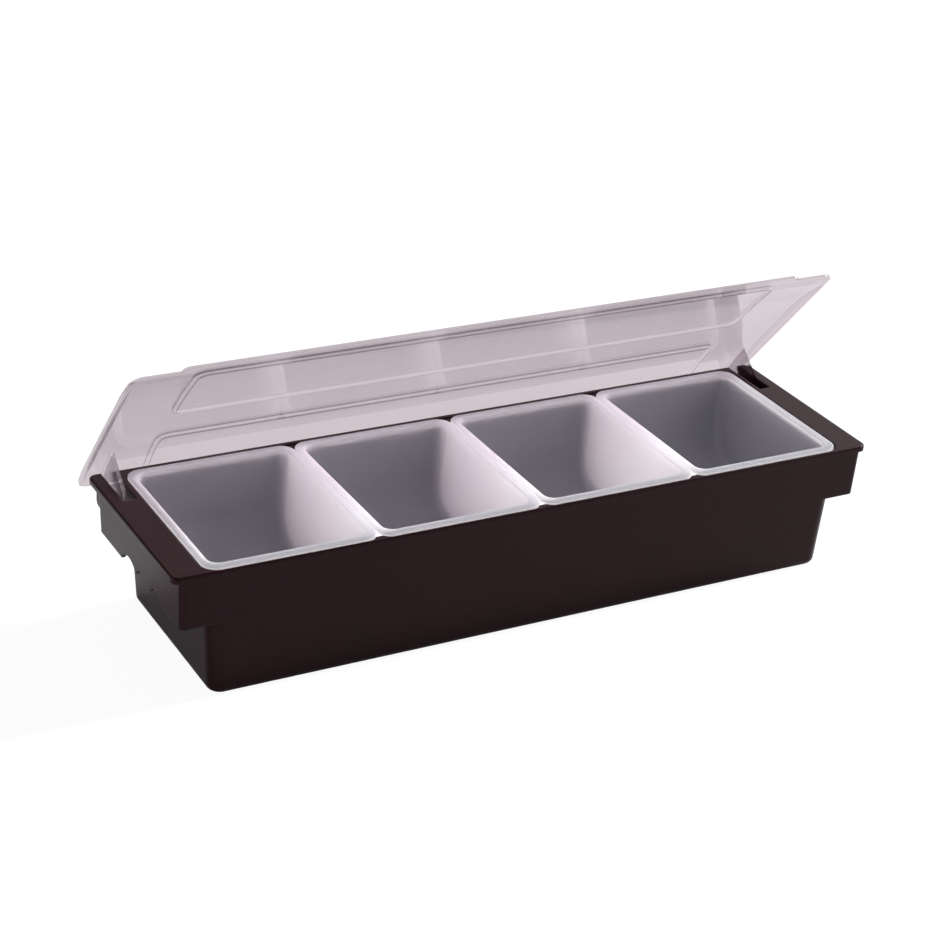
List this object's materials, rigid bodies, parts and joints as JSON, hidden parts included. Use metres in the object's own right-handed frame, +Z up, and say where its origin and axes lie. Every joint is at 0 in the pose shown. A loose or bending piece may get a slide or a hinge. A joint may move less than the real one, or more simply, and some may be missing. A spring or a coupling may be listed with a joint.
{
  "type": "condiment caddy",
  "caption": "Countertop condiment caddy: a long tray with finger-grip ends, lift-out inserts hung by their flanges, and a clear hinged lid over them.",
  "frame": {"origin": "centre of the tray's flat base, on the surface that it stands on", "axes": "+X along the tray to its right-hand end seen by the person who serves from it, +Y to the back edge with the lid hinge, +Z up"},
  "size_m": [0.5032, 0.157, 0.1908],
  "materials": {
    "tray_plastic": "satin dark brown moulded plastic",
    "lid_clear": "clear polished plastic with a faint warm tint",
    "insert_plastic": "satin white moulded plastic"
  },
  "bodies": {
    "tray": {"tray": "tray_plastic"},
    "lid": {"lid": "lid_clear"},
    "insert_1": {"insert_1": "insert_plastic"},
    "insert_2": {"insert_2": "insert_plastic"},
    "insert_3": {"insert_3": "insert_plastic"},
    "insert_4": {"insert_4": "insert_plastic"}
  },
  "joints": [
    {"name": "lid_hinge", "type": "hinge", "parent": "tray", "child": "lid", "pos_m": [0, 0.0651, 0.0748], "axis": [-1, 0, 0], "range_deg": [-50.7, 80]},
    {"name": "insert_1_lift", "type": "slide", "parent": "tray", "child": "insert_1", "axis": [0, 0, 1], "range_m": [0, 0.01]},
    {"name": "insert_2_lift", "type": "slide", "parent": "tray", "child": "insert_2", "axis": [0, 0, 1], "range_m": [0, 0.01]},
    {"name": "insert_3_lift", "type": "slide", "parent": "tray", "child": "insert_3", "axis": [0, 0, 1], "range_m": [0, 0.01]},
    {"name": "insert_4_lift", "type": "slide", "parent": "tray", "child": "insert_4", "axis": [0, 0, 1], "range_m": [0, 0.01]}
  ]
}
